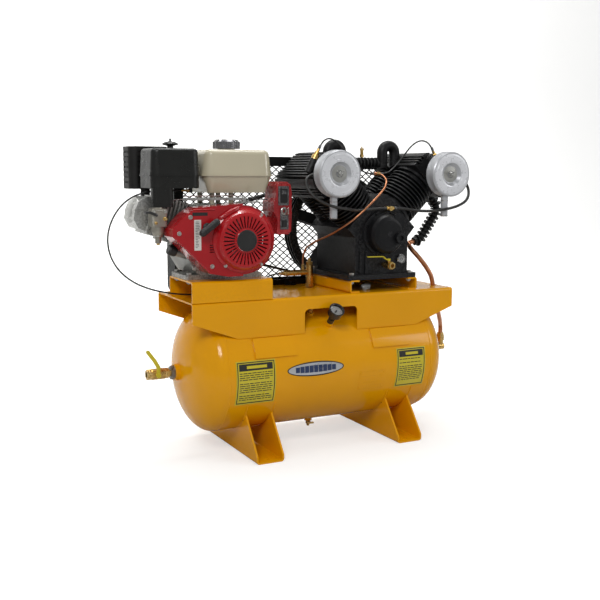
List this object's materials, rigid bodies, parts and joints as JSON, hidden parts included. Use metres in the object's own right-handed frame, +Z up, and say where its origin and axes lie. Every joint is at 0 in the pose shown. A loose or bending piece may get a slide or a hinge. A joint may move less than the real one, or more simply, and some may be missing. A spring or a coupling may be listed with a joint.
{
  "type": "twin stack compressor",
  "caption": "Engine-driven two-stage air compressor: a V pump with two filter stacks, belt drive and guard, on a platform over a horizontal receiver with feet",
  "frame": {"origin": "on the floor under the middle of the receiver: the centre of the four foot bolt holes", "axes": "X runs to the right along the receiver, Y to the back where the belt guard is, Z up"},
  "size_m": [1.2807, 0.498, 1.0192],
  "materials": {
    "yellow_paint": "glossy orange-yellow enamel",
    "bolt_steel": "zinc-plated steel",
    "bushing_steel": "plain forged steel",
    "brass": "machined brass",
    "lever_yellow": "yellow dipped sleeve over steel",
    "gauge_black": "black case with a white dial",
    "needle_black": "matt black needle",
    "ring_steel": "bright wire",
    "copper": "bare copper tube, dulled",
    "hose_rubber": "black flexible hose",
    "cable_jacket": "black cable jacket",
    "engine_alloy": "cast alloy, satin",
    "shroud_red": "glossy red enamel",
    "recoil_red": "red enamel with a black centre",
    "grip_black": "black moulded grip",
    "inner_steel": "machined steel",
    "fan_alloy": "cast alloy",
    "cream_paint": "cream enamel",
    "cap_chrome": "dark plated steel",
    "cleaner_black": "black moulded plastic",
    "muffler_steel": "heat-resisting black",
    "carb_alloy": "die-cast alloy",
    "lever_black": "black lever",
    "box_red": "red moulded box with a grey panel",
    "key_steel": "nickel-plated key",
    "pulley_iron": "black painted iron",
    "belt_rubber": "black belt",
    "guard_black": "satin black powder coat",
    "pump_black": "satin black painted iron",
    "fin_alloy": "black painted alloy",
    "filter_silver": "silver-grey paint",
    "sight_glass": "clear window in a plated rim"
  },
  "bodies": {
    "frame": {"receiver_tank": "yellow_paint", "feet": "yellow_paint", "platform": "yellow_paint", "engine_riser": "yellow_paint", "pump_risers": "yellow_paint", "mounting_bolts": "bolt_steel", "outlet_bushing": "bushing_steel", "outlet_valve_body": "brass", "drain_cock_body": "brass", "pressure_gauge": "gauge_black", "safety_valve": "brass", "pilot_valve": "brass", "check_valve": "brass", "discharge_tube": "copper", "pilot_tube": "copper", "pump_hoses": "hose_rubber", "throttle_cable": "cable_jacket", "engine_crankcase": "engine_alloy", "engine_cylinder": "engine_alloy", "rocker_cover": "engine_alloy", "fan_shroud": "shroud_red", "recoil_cover": "recoil_red", "engine_piston": "inner_steel", "fuel_tank": "cream_paint", "air_cleaner": "cleaner_black", "muffler": "muffler_steel", "muffler_guard": "muffler_steel", "carburettor": "carb_alloy", "control_plate": "ring_steel", "control_box": "box_red", "drive_belts": "belt_rubber", "belt_guard": "guard_black", "pump_crankcase": "pump_black", "pump_front_cover": "pump_black", "pump_cylinders": "pump_black", "pump_heads": "fin_alloy", "pump_pistons": "inner_steel", "pump_fittings": "brass", "air_filters": "filter_silver", "intercooler": "fin_alloy", "aftercooler": "fin_alloy", "sight_glass": "sight_glass", "oil_drain_valve": "brass"},
    "pump_crank": {"pump_crankshaft": "inner_steel", "pump_flywheel": "pulley_iron"},
    "engine_crank": {"engine_crankshaft": "inner_steel", "flywheel_fan": "fan_alloy", "drive_pulley": "pulley_iron"},
    "outlet_lever": {"outlet_valve_lever": "lever_yellow"},
    "drain_key": {"drain_cock_key": "brass"},
    "needle": {"gauge_needle": "needle_black"},
    "safety_ring": {"safety_valve_ring": "ring_steel"},
    "recoil_grip": {"recoil_handle": "grip_black"},
    "fuel_filler_cap": {"fuel_cap": "cap_chrome"},
    "cleaner_nut": {"air_cleaner_nut": "cleaner_black"},
    "speed_lever": {"throttle_lever": "lever_black"},
    "choke": {"choke_lever": "lever_black"},
    "key": {"ignition_key": "key_steel"},
    "oil_plug": {"oil_cap": "grip_black"},
    "drain_lever": {"oil_drain_lever": "lever_yellow"}
  },
  "joints": [
    {"name": "pump_spin", "type": "hinge", "parent": "frame", "child": "pump_crank", "pos_m": [0.2075, 0, 0.704], "axis": [0, 1, 0], "continuous": true},
    {"name": "engine_spin", "type": "hinge", "parent": "frame", "child": "engine_crank", "pos_m": [-0.322, 0, 0.699], "axis": [0, 1, 0], "continuous": true},
    {"name": "outlet_lever_turn", "type": "hinge", "parent": "frame", "child": "outlet_lever", "pos_m": [-0.549, -0.02, 0.2645], "axis": [0, -1, 0], "range_deg": [0, 90]},
    {"name": "drain_key_turn", "type": "hinge", "parent": "frame", "child": "drain_key", "pos_m": [0, -0.016, 0.0413], "axis": [0, 1, 0], "range_deg": [0, 90]},
    {"name": "needle_turn", "type": "hinge", "parent": "frame", "child": "needle", "pos_m": [0, -0.19092, 0.45542], "axis": [0, 0.7071, -0.7071], "range_deg": [0, 270], "stiffness_Nm_per_rad": 0.0005},
    {"name": "safety_ring_pull", "type": "slide", "parent": "frame", "child": "safety_ring", "axis": [0, -0.5, 0.866], "range_m": [0, 0.004], "stiffness_N_per_m": 200},
    {"name": "recoil_pull", "type": "slide", "parent": "frame", "child": "recoil_grip", "axis": [0, -1, 0], "range_m": [0, 0.08], "stiffness_N_per_m": 40},
    {"name": "fuel_cap_lift", "type": "slide", "parent": "frame", "child": "fuel_filler_cap", "axis": [0, 0, 1], "range_m": [0, 0.06]},
    {"name": "cleaner_nut_lift", "type": "slide", "parent": "frame", "child": "cleaner_nut", "axis": [0, 0, 1], "range_m": [0, 0.04]},
    {"name": "speed_lever_turn", "type": "hinge", "parent": "frame", "child": "speed_lever", "pos_m": [-0.262, -0.096, 0.822], "axis": [0, 0, 1], "range_deg": [0, 35]},
    {"name": "choke_turn", "type": "hinge", "parent": "frame", "child": "choke", "pos_m": [-0.582, -0.128, 0.778], "axis": [0, -1, 0], "range_deg": [0, 60]},
    {"name": "key_turn", "type": "hinge", "parent": "frame", "child": "key", "pos_m": [-0.138, -0.1, 0.782], "axis": [0, -1, 0], "range_deg": [0, 90]},
    {"name": "oil_plug_out", "type": "slide", "parent": "frame", "child": "oil_plug", "axis": [-0.95, 0, 0.3122], "range_m": [0, 0.04]},
    {"name": "drain_lever_turn", "type": "hinge", "parent": "frame", "child": "drain_lever", "pos_m": [0.216, -0.168, 0.615], "axis": [0, 0, 1], "range_deg": [0, 90]}
  ],
  "couplings": [
    {"joint": "engine_spin", "follows": "pump_spin", "ratio": 3.3333}
  ]
}
